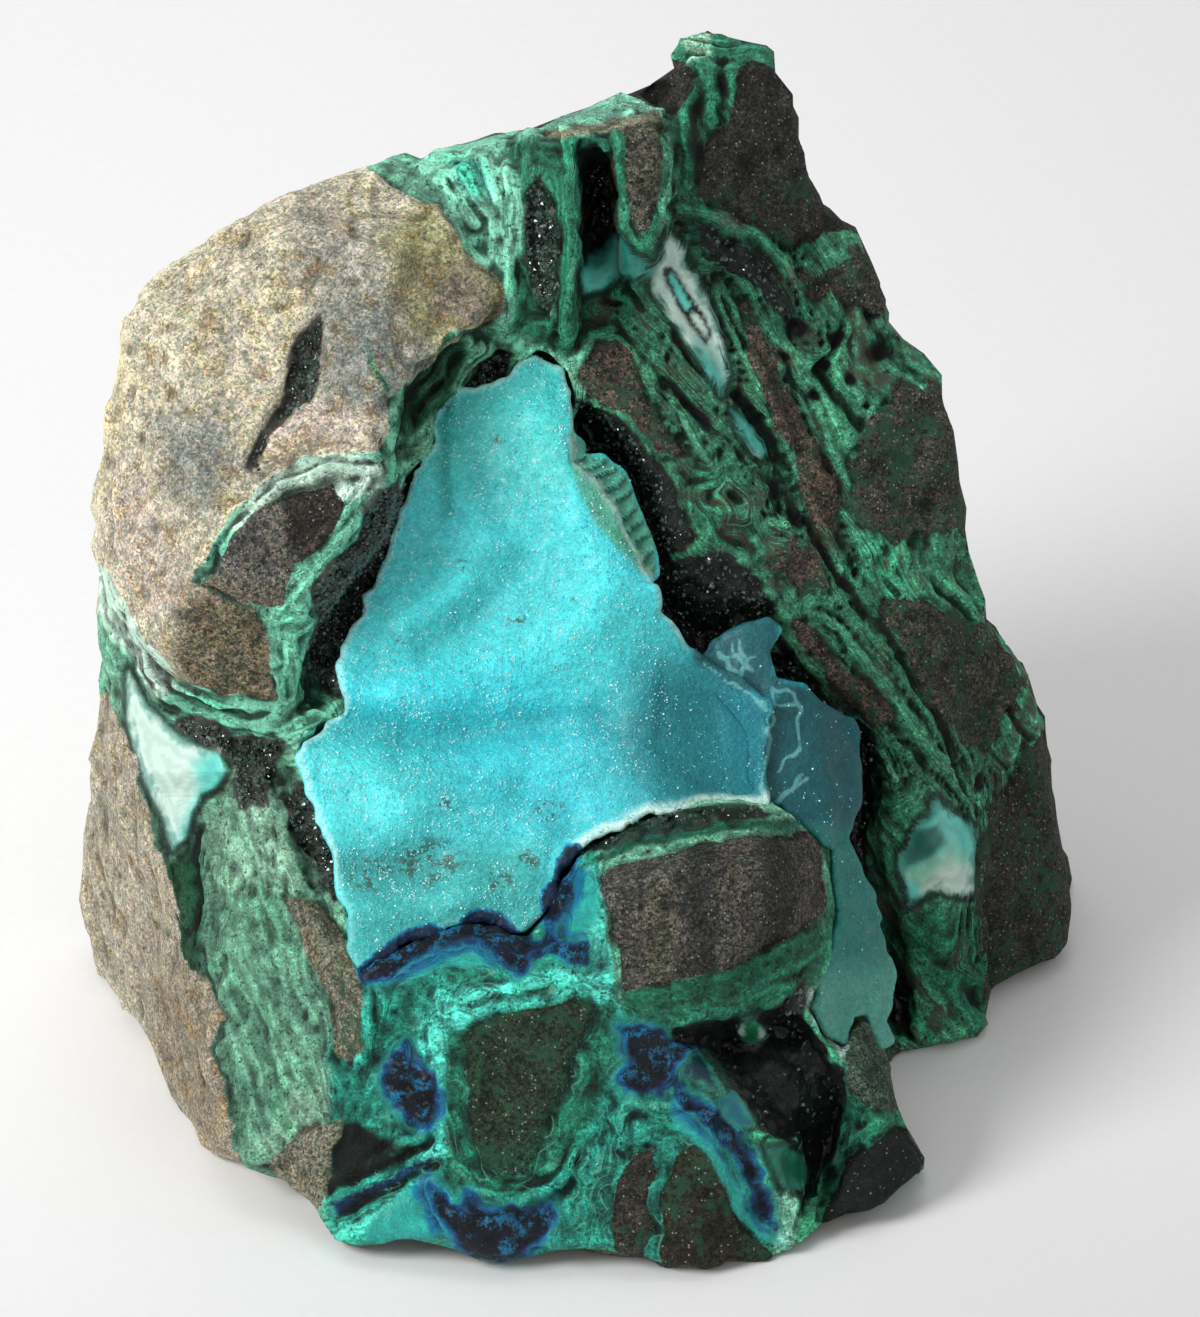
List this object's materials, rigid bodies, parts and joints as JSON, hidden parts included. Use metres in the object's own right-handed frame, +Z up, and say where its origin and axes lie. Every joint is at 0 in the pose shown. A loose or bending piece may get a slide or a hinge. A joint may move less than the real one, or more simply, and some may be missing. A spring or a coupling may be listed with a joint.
{
  "type": "chrysocolla specimen",
  "caption": "Broken cabinet-size block of veined copper-ore rock that stands on a flat underside, with a sparkling blue crust of chrysocolla in its leaning open face.",
  "frame": {"origin": "middle of the outline seen from above, on the surface that the rock stands on", "axes": "+Z up from the flat underside; the open face with the crust looks along -Y and leans back; +X to the right of a viewer of that face"},
  "size_m": [0.1004, 0.0984, 0.0969],
  "materials": {
    "veined_rock": "rough broken stone in grey-brown fragments, with banded green veins",
    "blue_crust": "opaque sky blue, covered with fine sparkling quartz points"
  },
  "bodies": {
    "root": {"host_rock": "veined_rock", "chrysocolla_crust": "blue_crust"}
  },
  "joints": []
}
